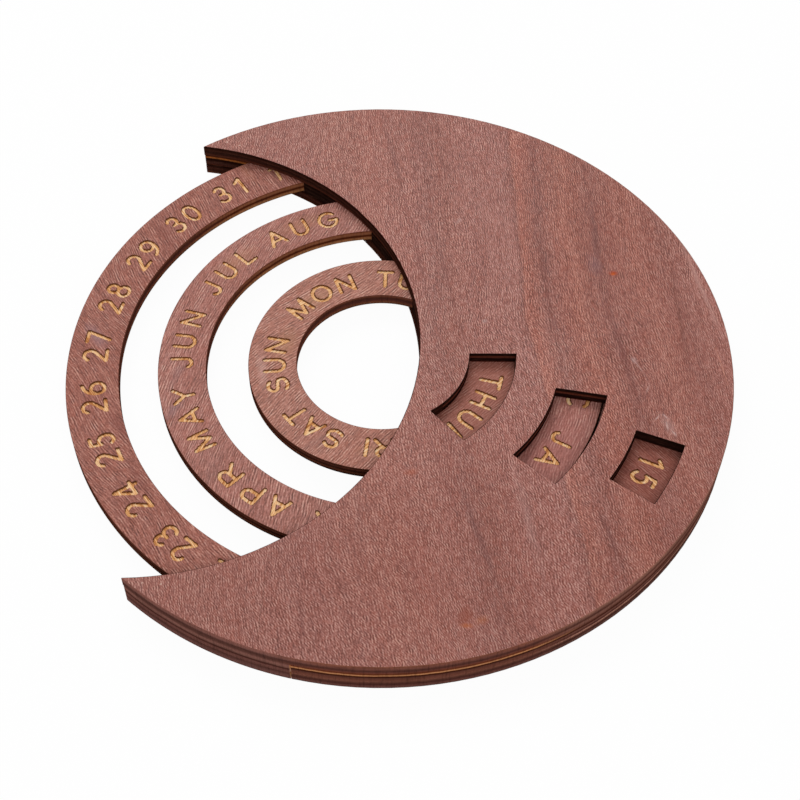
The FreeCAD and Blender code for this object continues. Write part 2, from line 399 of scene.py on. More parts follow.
def engraved_face(name, inner, outer, top, steps, strokes, smoke_deg, settings):
    """The flat top of a ring piece with the strokes cut into it, and how burnt each point of it is,
    which also sets the painted shade along a groove's foot.
    Radii in mm."""
    levels = groove_levels(settings)
    _, foot, lip, burn_end = levels
    flat, faces = stroked_sheet(inner, outer, steps, strokes, levels)
    gap, ways = nearest_stroke(strokes, flat, burn_end * LOOKED_PAST)
    smoke = np.array((math.cos(math.radians(smoke_deg)), math.sin(math.radians(smoke_deg))))
    depth = np.interp(gap, (foot, lip), (settings.groove_depth, 0.0))
    near = gap < burn_end - GAP_SLACK_MM
    flat[near] = ragged(flat[near])
    co = np.column_stack([flat[:, 0] * MM + RING_AXIS_X, flat[:, 1] * MM, top - depth])
    mesh = bpy.data.meshes.new(name)
    mesh.from_pydata(co.tolist(), [], faces.tolist())
    burn = np.interp(gap, levels, GROOVE_BURN_AND_SHADE)
    burn *= LEE_BURN + (1.0 - LEE_BURN) * np.clip(ways @ smoke, 0.0, 1.0)
    mesh.attributes.new("burn", "FLOAT", "POINT").data.foreach_set("value", burn.astype(np.float32))
    nearest, furthest = gap[faces].min(1), gap[faces].max(1)
    finish = np.full(len(faces), RING_FINISHES.index("veneer"))
    in_groove = (nearest < lip - GAP_SLACK_MM) & (furthest < burn_end)
    finish[in_groove] = RING_FINISHES.index("wall")
    finish[furthest <= foot + GAP_SLACK_MM] = RING_FINISHES.index("floor")
    mesh.polygons.foreach_set("material_index", finish.astype(np.int32))
    piece = bpy.data.objects.new(name, mesh)
    bpy.context.scene.collection.objects.link(piece)
    return piece


# Making pieces as by hand. The merge distances are in metres: for a sheet, for a spun section, and
# for the engraved face on its ring.
SHEET_MERGE = 2e-6
SPIN_MERGE = 5e-6
RING_MERGE = 3e-6
# Faces are one plane below the first angle; an edge is rounded above the second, smooth below the
# third.
SAME_PLANE = math.radians(0.3)
ARRIS_FROM = math.radians(40.0)
SMOOTH_UP_TO = math.radians(28.0)
ARRIS_SEGMENTS = 2


def deselect_all():
    if bpy.context.object and bpy.context.object.mode != "OBJECT":
        bpy.ops.object.mode_set(mode="OBJECT")
    bpy.ops.object.select_all(action="DESELECT")


def pick(piece):
    """Makes one piece the only selected and the active one."""
    deselect_all()
    piece.select_set(True)
    bpy.context.view_layer.objects.active = piece


def worn_arris(piece, width):
    """A small rounding along every cut edge, put on with a Bevel modifier."""
    pick(piece)
    bpy.ops.object.modifier_add(type="BEVEL")
    bevel = piece.modifiers[-1]
    bevel.width = width
    bevel.segments = ARRIS_SEGMENTS
    bevel.limit_method = "ANGLE"
    bevel.angle_limit = ARRIS_FROM
    bevel.use_clamp_overlap = False
    bpy.ops.object.modifier_apply(modifier=bevel.name)


def smooth(piece):
    pick(piece)
    bpy.ops.object.shade_smooth_by_angle(angle=SMOOTH_UP_TO)


def merge(piece, distance):
    """Into edit mode with all selected, and what lies together made one."""
    pick(piece)
    bpy.ops.object.mode_set(mode="EDIT")
    bpy.ops.mesh.select_mode(type="VERT")
    bpy.ops.mesh.select_all(action="SELECT")
    bpy.ops.mesh.remove_doubles(threshold=distance)


def cut_kind(centre):
    """Which cut a face of the casing belongs to, by its middle."""
    reach = math.hypot(centre.x - RING_AXIS_X, centre.y)
    bearing = math.degrees(math.atan2(centre.y, centre.x - RING_AXIS_X))
    if abs(abs(bearing) - HORN_JOINT_BEARING) < JOINT_FACE_DEG:
        return "joint"
    if reach > RIM_RADIUS - RIM_FACE_DEPTH:
        return "rim"
    return "window" if centre.x > WINDOWS_FROM_X else "hollow"


def finish_faces(piece, veneer, cuts):
    """Veneer on the two faces of a sheet, and on every cut the burnt edge that belongs there."""
    piece.data.materials.clear()
    piece.data.materials.append(veneer)
    kinds = list(cuts)
    for kind in kinds:
        piece.data.materials.append(cuts[kind])
    for face in piece.data.polygons:
        flat = abs(face.normal.z) > FLAT_NORMAL
        face.material_index = 0 if flat else 1 + kinds.index(cut_kind(face.center))


def cut_sheet(node, name, veneer, cuts, arris):
    """One glued sheet: the node's shape with worn arrises, veneer faces and burnt cut edges."""
    pick(frame["nodes"][node])
    bpy.ops.object.duplicate()
    piece = bpy.context.active_object
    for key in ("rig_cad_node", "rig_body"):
        if key in piece:
            del piece[key]
    piece.parent = None
    piece.name = name
    merge(piece, SHEET_MERGE)
    bpy.ops.mesh.dissolve_limited(angle_limit=SAME_PLANE)
    bpy.ops.object.mode_set(mode="OBJECT")
    worn_arris(piece, arris)
    finish_faces(piece, veneer, cuts)
    smooth(piece)
    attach(piece, "casing")
    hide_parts(node)
    return piece


def ring_band(name, inner, outer, low_z, high_z, steps, arris):
    """A ring's section with worn corners, spun about the axis: its two walls and its underside."""
    width, height = outer - inner, high_z - low_z
    middle = (RING_AXIS_X + (inner + outer) / 2, 0.0, (low_z + high_z) / 2)
    stretched = Matrix.Diagonal((width, 1.0, height, 1.0))
    deselect_all()
    bpy.ops.mesh.primitive_plane_add(
        size=1.0, location=(0.0, 0.0, 0.0), rotation=(math.pi / 2, 0.0, 0.0))
    piece = bpy.context.active_object
    piece.name = name
    piece.data.transform(Matrix.Translation(middle) @ stretched @ piece.matrix_world)
    piece.matrix_world = Matrix.Identity(4)
    bpy.ops.object.mode_set(mode="EDIT")
    bpy.ops.mesh.select_mode(type="VERT")
    bpy.ops.mesh.select_all(action="SELECT")
    bpy.ops.mesh.bevel(offset=arris, segments=ARRIS_SEGMENTS, affect="VERTICES")
    bpy.ops.mesh.delete(type="ONLY_FACE")
    bpy.ops.object.mode_set(mode="OBJECT")
    # The section's top line goes, because the engraved face takes its place.
    vertices = piece.data.vertices
    for parts in (vertices, piece.data.edges, piece.data.polygons):
        parts.foreach_set("select", [False] * len(parts))
    for edge in piece.data.edges:
        a, b = (vertices[v].co for v in edge.vertices)
        edge.select = min(a.z, b.z) > high_z - arris / 4 and abs(a.x - b.x) > width / 2
    bpy.ops.object.mode_set(mode="EDIT")
    bpy.ops.mesh.select_mode(type="EDGE")
    bpy.ops.mesh.delete(type="EDGE")
    bpy.ops.mesh.select_mode(type="VERT")
    bpy.ops.mesh.select_all(action="SELECT")
    bpy.ops.mesh.spin(
        steps=steps, angle=2 * math.pi, center=(RING_AXIS_X, 0.0, 0.0), axis=(0.0, 0.0, 1.0))
    merge(piece, SPIN_MERGE)
    bpy.ops.object.mode_set(mode="OBJECT")
    return piece


def turned_ring(node, name, steps, strokes, smoke_deg, finishes, settings):
    """One lettered ring: its section spun about the axis, closed on top by the engraved face."""
    inner, outer = ring_radii(node)
    low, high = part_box(node)
    arris = settings.arris
    piece = ring_band(name, inner, outer, low.z, high.z, steps, arris)
    middle = (inner + outer) / 2
    for polygon in piece.data.polygons:
        reach = math.hypot(polygon.center.x - RING_AXIS_X, polygon.center.y)
        side = "outside" if reach > middle else "inside"
        side = "veneer" if abs(polygon.normal.z) > FLAT_NORMAL else side
        polygon.material_index = RING_FINISHES.index(side)
    face = engraved_face(name + "_face", (inner + arris) / MM, (outer - arris) / MM, high.z, steps,
                         strokes, smoke_deg, settings)
    for part in (piece, face):
        for finish in finishes:
            part.data.materials.append(finish)
    pick(piece)
    face.select_set(True)
    bpy.ops.object.join()
    merge(piece, RING_MERGE)
    bpy.ops.mesh.normals_make_consistent(inside=False)
    bpy.ops.object.mode_set(mode="OBJECT")
    smooth(piece)
    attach(piece, node)
    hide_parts(node)
    return piece


# Finishes. Every length in them is in mm.

# The places of a Mix node's sockets when it mixes colours, and of the mixed colour.
SHARE, FIRST, SECOND, MIXED = 0, 6, 7, 2
# The place of a Gabor node's socket for the direction that its waves run in.
LINE_DIRECTION = 4
# The waves in one cell of a Gabor node, and how alike their directions are, from 0 to 1.
LINES_PER_CELL = 2.0
LINES_ALIKE = 0.9
NOISE_ROUGHNESS = 0.58
NO_SHIFT = (0.0, 0.0, 0.0)


def linear(hex_colour):
    """An sRGB hex colour as the linear colour that Blender works with."""
    channels = [int(hex_colour[i:i + 2], 16) / 255 for i in (1, 3, 5)]
    red, green, blue = (
        c / 12.92 if c <= 0.04045 else ((c + 0.055) / 1.055) ** 2.4 for c in channels)
    return red, green, blue, 1.0


def add_node(tree, kind, inputs=None, stops=(), **settings):
    """Adds a node with its settings, inputs (values or links) and ramp stops. Gives its outputs."""
    node = tree.nodes.new("ShaderNode" + kind)
    for key, value in settings.items():
        setattr(node, key, value)
    for key, value in (inputs or {}).items():
        if isinstance(value, bpy.types.NodeSocket):
            tree.links.new(value, node.inputs[key])
        else:
            node.inputs[key].default_value = value
    for i, (place, colour) in enumerate(stops):
        elements = node.color_ramp.elements
        if i == 0:
            elements.remove(elements[0])
        element = elements.new(place) if i else elements[0]
        element.position = place
        element.color = linear(colour)
    return node.outputs


def new_material(name):
    material = bpy.data.materials.new(name)
    material.use_nodes = True
    material.node_tree.nodes.clear()
    return material, material.node_tree


def in_millimetres(tree):
    """A point's own place on the object in mm, and its x, y and z."""
    coords = add_node(tree, "TexCoord")["Object"]
    place = add_node(tree, "Mapping", {"Vector": coords, "Scale": (1 / MM,) * 3})[0]
    return place, add_node(tree, "SeparateXYZ", {0: place})


def close_material(tree, colour, roughness, height, relief, gloss):
    """The surface itself: its colour, how matt it is, and the relief of its pattern in mm."""
    bump = add_node(tree, "Bump", {"Strength": 1.0, "Distance": relief * MM, "Height": height})[0]
    shader = add_node(tree, "BsdfPrincipled", {
        "Base Color": colour, "Roughness": roughness, "Specular IOR Level": gloss,
        "Normal": bump})[0]
    add_node(tree, "OutputMaterial", {0: shader})


def tinted(tree, colour, pattern, shades):
    """Mixes shades into a colour by a pattern. A shade has the pattern's value where it starts, the
    value where it is at its full strength, that strength, and its colour."""
    for start, full, strength, shade in shades:
        share = add_node(tree, "MapRange", {
            "Value": pattern, "From Min": start, "From Max": full, "To Max": strength})[0]
        colour = add_node(tree, "Mix", {SHARE: share, FIRST: colour, SECOND: linear(shade)},
                          data_type="RGBA")[MIXED]
    return colour


def grain_tone(tree, place, layers, shift=NO_SHIFT, middle=0.5):
    """Layers of noise, each of some length, width and depth, summed to a tone about a middle."""
    tone = middle - sum(weight for *_, weight in layers) / 2
    for length, width, depth, detail, weight in layers:
        drawn = add_node(tree, "Mapping", {
            "Vector": place, "Location": shift, "Scale": (1 / length, 1 / width, 1 / depth)})[0]
        noise = add_node(tree, "TexNoise", {
            "Vector": drawn, "Scale": 1.0, "Detail": detail, "Roughness": NOISE_ROUGHNESS})[0]
        tone = add_node(tree, "Math", {0: noise, 1: weight, 2: tone}, operation="MULTIPLY_ADD")[0]
    return tone


def fibre_lines(tree, place, lines, tone):
    """Adds sets of crisp fine lines to a tone: each has a length, a pitch, a slant and a weight."""
    for length, pitch, slant, weight in lines:
        drawn = add_node(tree, "Mapping", {
            "Vector": place, "Scale": (1 / length, 1 / (pitch * LINES_PER_CELL), 1.0)})[0]
        found = add_node(tree, "TexGabor", {
            "Vector": drawn, "Scale": 1.0, "Frequency": LINES_PER_CELL, "Anisotropy": LINES_ALIKE,
            LINE_DIRECTION: math.radians(90.0 + slant)})[0]
        centred = add_node(tree, "Math", {0: found, 1: 0.5}, operation="SUBTRACT")[0]
        tone = add_node(tree, "Math", {0: centred, 1: weight, 2: tone}, operation="MULTIPLY_ADD")[0]
    return tone


# Veneer grain. A layer has a length along the grain, a width across it, a depth, a detail and a
# weight. A set of lines has a length, a pitch, a slant in degrees and a weight. Real pores are
# about 0.05 mm wide and less than 0.2 mm apart. These are 0.2 mm wide, and the lines 0.5 mm apart,
# because finer ones don't show.
COVER_LAYERS = (
    (0.45, 0.22, 1.0, 0.0, 1.05), (1.8, 0.24, 1.0, 0.0, 0.60), (4.5, 0.40, 1.0, 1.0, 0.10),
    (14.0, 0.8, 2.0, 2.0, 0.14), (45.0, 2.2, 3.0, 2.0, 0.26), (18.0, 7.0, 9.0, 2.0, 0.14),
)
COVER_LINES = ((1.2, 0.52, 0.0, 1.32), (0.8, 0.49, 24.0, 1.32))
RING_LAYERS = (
    (0.45, 0.22, 1.0, 0.0, 0.70), (1.8, 0.24, 1.0, 0.0, 0.60), (6.0, 0.32, 1.0, 0.0, 0.30),
    (14.0, 0.8, 2.0, 2.0, 0.16), (30.0, 2.4, 3.0, 2.0, 0.22), (18.0, 7.0, 9.0, 2.0, 0.16),
)
RING_LINES = ((3.6, 0.56, 0.0, 1.10), (1.6, 0.49, 14.0, 0.90))
DRIFT_LAYERS = ((70.0, 7.0, 9.0, 2.0, 3.0),)
TINT_LAYERS = ((1.5, 0.55, 1.0, 1.0, 3.0),)
WAVER_LAYERS = ((34.0, 34.0, 34.0, 1.0, 7.0),)
RAGGED_LAYERS = ((0.5, 0.22, 1.0, 1.0, 1.0),)
BARE_LAYERS = ((2.5, 0.22, 0.5, 1.0, 1.9), (9.0, 6.0, 3.0, 1.0, 0.7))
CHAR_LAYERS = ((0.4, 0.4, 0.3, 2.0, 1.6),)
# Beam marks stand upright on a cut, fibres lie along it, patches are uneven burning.
BEAM_LAYERS = ((0.34, 0.34, 4.0, 2.0, 2.4),)
FIBRE_LAYERS = ((2.6, 2.6, 0.14, 2.0, 2.2),)
PATCH_LAYERS = ((8.0, 8.0, 1.6, 3.0, 2.4),)
WANDER_LAYERS = ((15.0, 15.0, 9.0, 2.0, 0.16), (3.0, 3.0, 2.0, 2.0, 0.10))

# Shades that a pattern mixes in, each with its start, its full place and its strength: greyer and
# redder stain, the burnt margin and torn fibres beside a stroke, the browner foot of a groove,
# partly scorch and partly painted shade, and the uneven char of a cut edge.
DRIFT_SHADES = ((0.5, 1.2, 0.10, "#7A625E"), (0.5, -0.2, 0.10, "#98483A"))
TINT_SHADES = ((0.55, 1.3, 0.14, "#B85C44"), (0.45, -0.3, 0.14, "#7E6A6C"))
MARGIN_SHADES = ((0.22, 0.62, 0.9, "#4C2418"), (1.16, 1.24, 0.8, "#C08850"))
# The groove's foot: partly scorch, partly painted shade.
FOOT_SCORCH_AND_SHADE = ((0.35, 1.0, 0.7, "#7A4420"),)
BEAM_SHADES = ((0.45, 1.1, 0.40, "#1E100C"),)
PATCH_SHADES = ((0.5, 1.2, 0.35, "#2A1610"),)
FIBRE_SHADES = ((0.6, 1.3, 0.25, "#9A6A54"), (0.4, -0.2, 0.35, "#22120E"))

# Wood under the stain, from its dark pores to its pale ridges.
BARE_BIRCH = ((0.1, "#B26E3C"), (0.35, "#DA9C60"), (0.6, "#F2BE88"), (0.9, "#FCDCB2"))
SCORCHED_BIRCH = ((0.1, "#44200E"), (0.5, "#70401E"), (0.9, "#9A6434"))

# How far a mark's outline is bent, in mm, and a scale that makes marks reach through the sheet.
MARK_WARP = 0.5
FLAT_SCALE = 1000.0
# How much the grain bows, per mm along it squared.
GRAIN_BOW = 0.0008
# The length in mm over which one look of a cut edge passes into the next.
SECTION_BLEND = 5.0


def laid_marks(tree, colour, place, marks_and_shade):
    """Lays soft-edged ovals over a colour: the knots, seams, streaks and scratches of a veneer, and
    patches of painted shade.
    """
    warp = add_node(tree, "TexNoise", {"Vector": place, "Scale": 1.3, "Detail": 2.0})[1]
    warp = add_node(tree, "VectorMath", {0: warp, 1: (0.5, 0.5, 0.5)}, operation="SUBTRACT")[0]
    bent = add_node(tree, "VectorMath", {0: warp, 1: (MARK_WARP,) * 3, 2: place},
                    operation="MULTIPLY_ADD")[0]
    for x, y, length, width, bearing, softness, strength, shade in marks_and_shade:
        oval_place = add_node(tree, "Mapping", {
            "Vector": bent, "Location": (x, y, 0.0), "Rotation": (0.0, 0.0, math.radians(bearing)),
            "Scale": (length / 2, width / 2, FLAT_SCALE)}, vector_type="TEXTURE")[0]
        reach = add_node(tree, "VectorMath", {0: oval_place}, operation="LENGTH")[1]
        colour = tinted(tree, colour, reach, ((1.0, 1.0 - softness, strength, shade),))
    return colour


def glazed(tree, colour, across, bands):
    """Multiplies a colour by long bands of stain, placed in mm against the grain's cross axis."""
    near, far = bands[0][0], bands[-1][0]
    share = add_node(tree, "MapRange", {"Value": across, "From Min": -near, "From Max": -far})[0]
    stops = [((x - near) / (far - near), shade) for x, shade in bands]
    band = add_node(tree, "ValToRGB", {0: share}, stops=stops)[0]
    return add_node(tree, "Mix", {SHARE: 1.0, FIRST: colour, SECOND: band}, data_type="RGBA",
                    blend_type="MULTIPLY")[MIXED]


def torn_burn(tree, along, shift):
    """How burnt a place is, made uneven by torn fibres; at a groove's foot this is partly painted
    shade.
    """
    burn = add_node(tree, "Attribute", attribute_name="burn")["Fac"]
    torn = grain_tone(tree, along, RAGGED_LAYERS, shift, middle=0.0)
    return add_node(tree, "Math", {0: burn, 1: torn}, operation="ADD")[0]


def stained_veneer(name, stain, layers, lines, bearing, shift=NO_SHIFT, bands=(), marks_and_shade=(),
                   engraved=False):
    """Birch veneer, rotary cut, stained mahogany red and rubbed matt: fine light and dark flecks
    along the grain, soft wider streaks, and slow drifts between a redder and a greyer stain."""
    material, tree = new_material(name)
    place, _ = in_millimetres(tree)
    turned = add_node(tree, "VectorRotate", {"Vector": place, "Angle": -math.radians(bearing)},
                      rotation_type="Z_AXIS")[0]
    axes = add_node(tree, "SeparateXYZ", {0: turned})
    # The grain bows to one side at both ends of the sheet, and wavers a little on its way.
    bow = add_node(tree, "Math", {0: axes[0], 1: 2.0}, operation="POWER")[0]
    across = add_node(tree, "Math", {0: bow, 1: GRAIN_BOW, 2: axes[1]}, operation="MULTIPLY_ADD")[0]
    waver = grain_tone(tree, place, WAVER_LAYERS, shift, middle=0.0)
    across = add_node(tree, "Math", {0: across, 1: waver}, operation="ADD")[0]
    along = add_node(tree, "CombineXYZ", {0: axes[0], 1: across, 2: axes[2]})[0]
    tone = fibre_lines(tree, along, lines, grain_tone(tree, along, layers, shift))
    colour = add_node(tree, "ValToRGB", {0: tone}, stops=stain)[0]
    if bands:
        colour = glazed(tree, colour, across, bands)
    colour = tinted(tree, colour, grain_tone(tree, along, DRIFT_LAYERS, shift), DRIFT_SHADES)
    colour = tinted(tree, colour, grain_tone(tree, along, TINT_LAYERS, shift), TINT_SHADES)
    colour = laid_marks(tree, colour, place, marks_and_shade)
    if engraved:
        # The laser leaves a thin brown margin beside a stroke, and torn fibres leave bare wood.
        colour = tinted(tree, colour, torn_burn(tree, along, shift), MARGIN_SHADES)
    rough = add_node(tree, "MapRange", {"Value": tone, "To Min": 0.56, "To Max": 0.68})[0]
    close_material(tree, colour, rough, tone, relief=0.005, gloss=0.18)
    return material


def burnt_edge(name, node, sections):
    """Laser-cut plywood edge: the beam chars each ply to its own brown, so the cut shows thin lines
    that follow the sheet, with fine upright marks from the beam's steps and hardly any shine."""
    material, tree = new_material(name)
    place, axes = in_millimetres(tree)
    low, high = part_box(node)
    thickness = (high.z - low.z) / MM
    rise = add_node(tree, "Math", {0: axes[2], 1: 1 / thickness, 2: -low.z / MM / thickness},
                    operation="MULTIPLY_ADD")[0]
    wander = grain_tone(tree, place, WANDER_LAYERS, middle=0.0)
    rise = add_node(tree, "Math", {0: rise, 1: wander}, operation="ADD")[0]
    (_, plies), *others = sections
    colour = add_node(tree, "ValToRGB", {0: rise}, stops=plies)[0]
    for start_x, plies in others:
        look = add_node(tree, "ValToRGB", {0: rise}, stops=plies)[0]
        share = add_node(tree, "MapRange", {
            "Value": axes[0], "From Min": start_x - SECTION_BLEND,
            "From Max": start_x + SECTION_BLEND})[0]
        colour = add_node(tree, "Mix", {SHARE: share, FIRST: colour, SECOND: look},
                          data_type="RGBA")[MIXED]
    beam, fibre, patch = (
        grain_tone(tree, place, layers) for layers in (BEAM_LAYERS, FIBRE_LAYERS, PATCH_LAYERS))
    for pattern, shades in ((beam, BEAM_SHADES), (patch, PATCH_SHADES), (fibre, FIBRE_SHADES)):
        colour = tinted(tree, colour, pattern, shades)
    height = add_node(tree, "Math", {0: beam, 1: fibre}, operation="ADD")[0]
    rough = add_node(tree, "MapRange", {"Value": patch, "To Min": 0.55, "To Max": 0.8})[0]
    close_material(tree, colour, rough, height, relief=0.02, gloss=0.0)
    return material


def bare_groove_floor(name, bearing, shift):
    """Unstained birch under the stained skin, laid bare by the laser: golden tan, with fine fibres
    that run one way and a browner foot along the groove's wall, partly scorch and partly painted
    shade."""
    material, tree = new_material(name)
    place, _ = in_millimetres(tree)
    along = add_node(tree, "VectorRotate", {"Vector": place, "Angle": -math.radians(bearing)},
                     rotation_type="Z_AXIS")[0]
    tone = grain_tone(tree, along, BARE_LAYERS, shift)
    colour = add_node(tree, "ValToRGB", {0: tone}, stops=BARE_BIRCH)[0]
    # The foot along the wall is painted browner: partly scorch, partly painted shade.
    colour = tinted(tree, colour, torn_burn(tree, along, shift), FOOT_SCORCH_AND_SHADE)
    close_material(tree, colour, 0.75, tone, relief=0.03, gloss=0.15)
    return material


def burnt_groove_wall(name):
    """The steep side of an engraved stroke: wood scorched to a dull golden brown."""
    material, tree = new_material(name)
    place, _ = in_millimetres(tree)
    tone = grain_tone(tree, place, CHAR_LAYERS)
    colour = add_node(tree, "ValToRGB", {0: tone}, stops=SCORCHED_BIRCH)[0]
    close_material(tree, colour, 0.8, tone, relief=0.02, gloss=0.12)
    return material


# Stains: from the dark pores to the pale ridges.
COVER_STAIN = (
    (0.0, "#70453D"), (0.3, "#925E54"), (0.5, "#A66E64"), (0.7, "#B88177"), (1.0, "#D8A79A"),
)
DATE_STAIN = (
    (0.0, "#5D332A"), (0.3, "#824E42"), (0.5, "#985F52"), (0.7, "#AB7164"), (1.0, "#C99787"),
)
MONTH_STAIN = (
    (0.0, "#694239"), (0.3, "#8C5B50"), (0.5, "#A26B60"), (0.7, "#B57D72"), (1.0, "#D1A293"),
)
DAY_STAIN = (
    (0.0, "#6D483D"), (0.3, "#936153"), (0.5, "#A87162"), (0.7, "#BB8374"), (1.0, "#D7AA99"),
)
INNER_STAIN = (
    (0.0, "#44261F"), (0.3, "#623A32"), (0.5, "#7A4C44"), (0.75, "#8E5E55"), (1.0, "#A87A6E"),
)
# The cover's long bands: the shade of stain at each place across the grain, in mm along x through
# the origin, laid over the grain like a glaze. A thin dark line at 28.6 parts grey from red ones.
COVER_BANDS = (
    (-42.0, "#F0EEEC"), (-22.6, "#EDEBEB"), (-10.0, "#F4F0EC"), (4.0, "#F1EFEE"), (8.0, "#E5E3E3"),
    (12.0, "#E6E2E0"), (18.0, "#F2F0F0"), (27.6, "#F4F4F5"), (28.6, "#DEDCDC"), (29.4, "#FAEEE6"),
    (34.0, "#DEDADA"), (40.0, "#F4E8E0"), (46.5, "#DCD4D2"), (56.0, "#F4ECE6"), (61.5, "#E4E0DE"),
    (73.0, "#FCFCFC"),
)
# Veneer marks and painted shade: x, y, length, width, bearing, softness, strength and colour.
COVER_MARKS_AND_SHADE = (
    # Painted shade: the cover is darker and redder towards the front and the right, where less
    # light falls.
    (10.0, -56.0, 220.0, 90.0, 0.0, 1.0, 0.22, "#7C3A2E"),
    (66.0, -6.0, 180.0, 60.0, 100.0, 1.0, 0.20, "#7E3C32"),
    # Long streaks along the grain, from the hollow to the right.
    (-5.5, 61.0, 28.0, 1.8, 105.0, 1.0, 0.40, "#6A4846"),
    (3.0, 26.0, 48.0, 1.6, 103.0, 0.9, 0.35, "#74443E"),
    (9.3, 22.0, 40.0, 1.4, 104.0, 0.9, 0.35, "#744540"),
    (18.8, -46.0, 36.0, 2.2, 110.0, 0.9, 0.45, "#664240"),
    (10.5, -30.0, 22.0, 1.4, 110.0, 0.9, 0.30, "#70423E"),
    (31.8, 18.0, 48.0, 1.5, 99.0, 0.9, 0.36, "#6E3A32"),
    (42.4, 36.0, 30.0, 2.2, 95.0, 0.9, 0.38, "#684644"),
    (47.6, 4.0, 42.0, 2.2, 104.0, 0.9, 0.42, "#66322E"),
    (44.5, -44.0, 18.0, 1.4, 109.0, 0.8, 0.40, "#643834"),
    (60.7, 12.0, 42.0, 1.7, 95.0, 0.9, 0.38, "#6A4038"),
    (65.3, 24.0, 42.0, 1.5, 106.0, 0.8, 0.35, "#C69C92"),
    (28.0, -40.0, 34.0, 3.0, 103.0, 0.9, 0.30, "#A88680"),
    (-14.5, -66.0, 16.0, 1.6, 98.0, 0.9, 0.35, "#6C3C38"),
    (42.0, 28.0, 8.0, 4.5, 100.0, 1.0, 0.30, "#76606A"),
    # The splice of the veneer in each horn.
    (-22.4, -62.0, 26.0, 0.3, 90.0, 0.5, 0.50, "#6A443A"),
    (-22.4, 64.0, 26.0, 0.3, 90.0, 0.5, 0.45, "#6A443A"),
    # Knots, each with a darker side.
    (48.0, 25.2, 2.6, 1.8, 100.0, 0.8, 0.40, "#6E443A"),
    (46.3, 25.7, 2.4, 1.8, 5.0, 0.8, 0.90, "#A8401A"),
    (46.2, 25.4, 1.2, 0.8, 5.0, 0.8, 0.70, "#CC6426"),
    (16.5, -63.0, 5.6, 3.7, 80.0, 0.7, 0.52, "#86402C"),
    (16.8, -65.0, 3.2, 1.6, 0.0, 0.8, 0.50, "#B4602E"),
    (19.6, -63.6, 3.6, 2.4, 30.0, 0.9, 0.38, "#B4683E"),
    (4.3, -30.7, 3.8, 2.0, 10.0, 0.9, 0.45, "#A8502F"),
    # Pale scratches and rubbed spots.
    (51.0, -0.1, 7.4, 0.45, 121.0, 0.8, 0.34, "#CFAFA8"),
    (50.2, 1.3, 2.4, 1.6, 120.0, 0.9, 0.38, "#C8AAA6"),
    (56.9, -15.3, 8.0, 3.0, 116.0, 1.0, 0.26, "#CBABA5"),
    (54.6, -13.6, 2.2, 0.5, 60.0, 0.8, 0.44, "#DCC2BC"),
    (56.3, -13.2, 2.0, 0.5, 130.0, 0.8, 0.44, "#DCC2BC"),
    (56.6, -15.6, 2.8, 0.5, 95.0, 0.8, 0.46, "#DCC2BC"),
    (57.9, -17.3, 2.6, 0.5, 125.0, 0.8, 0.44, "#DCC2BC"),
    (52.9, -6.2, 3.2, 0.6, 70.0, 0.9, 0.34, "#C8A8A2"),
    (68.9, 0.8, 15.0, 0.4, 101.5, 0.6, 0.50, "#CC8C78"),
    (11.3, 39.2, 2.8, 1.2, 60.0, 0.8, 0.36, "#C4A49E"),
    (18.1, 9.9, 1.9, 1.5, 0.0, 0.8, 0.34, "#BAA29E"),
    # Chips on the horns.
    (-44.7, 60.8, 0.7, 0.5, 100.0, 0.6, 0.60, "#E0C0B0"),
    (-41.6, 60.0, 0.7, 0.6, 0.0, 0.6, 0.60, "#E0C0B0"),
    (-45.8, -59.8, 0.7, 0.5, 20.0, 0.6, 0.55, "#DCBCAC"),
    (-42.2, -59.9, 0.6, 0.6, 0.0, 0.6, 0.55, "#DCBCAC"),
)
DATE_MARKS_AND_SHADE = (
    (-55.4, 32.6, 12.0, 3.6, 128.0, 1.0, 0.50, "#74382E"),
    (-57.4, -21.0, 12.0, 3.6, 128.0, 1.0, 0.50, "#6E3832"),
    (-66.2, 2.4, 10.0, 4.0, 128.0, 1.0, 0.50, "#98828A"),
    (-50.7, -34.3, 14.0, 2.6, 128.0, 1.0, 0.45, "#703C36"),
    (-39.9, 54.9, 12.0, 3.0, 128.0, 1.0, 0.35, "#A86E54"),
    (-60.0, -11.0, 16.0, 2.2, 128.0, 1.0, 0.30, "#B27C6A"),
    # Painted window shade: the ring darker and redder where it shows through the date window.
    (52.6, -25.9, 36.0, 30.0, 60.0, 0.6, 0.45, "#7A3C30"),
)
MONTH_MARKS_AND_SHADE = (
    (-26.5, -38.5, 9.0, 0.3, 66.0, 0.5, 0.60, "#64423A"),
    (-46.4, -15.8, 9.0, 3.0, 66.0, 1.0, 0.45, "#806E74"),
    (-44.8, -3.0, 1.1, 0.9, 0.0, 0.4, 0.95, "#2C120A"),
    (-47.0, -6.3, 10.0, 3.0, 73.0, 1.0, 0.35, "#7C6264"),
    (-38.7, 25.8, 16.0, 6.0, 50.0, 1.0, 0.40, "#A87650"),
    (-25.2, 38.2, 16.0, 6.0, 30.0, 1.0, 0.35, "#A87650"),
    (-35.8, -30.9, 12.0, 3.0, 73.0, 1.0, 0.35, "#74504A"),
    # Painted window shade: the ring darker and redder where it shows through the month window.
    (32.8, -22.0, 40.0, 20.0, 60.0, 0.6, 0.40, "#A0605A"),
)
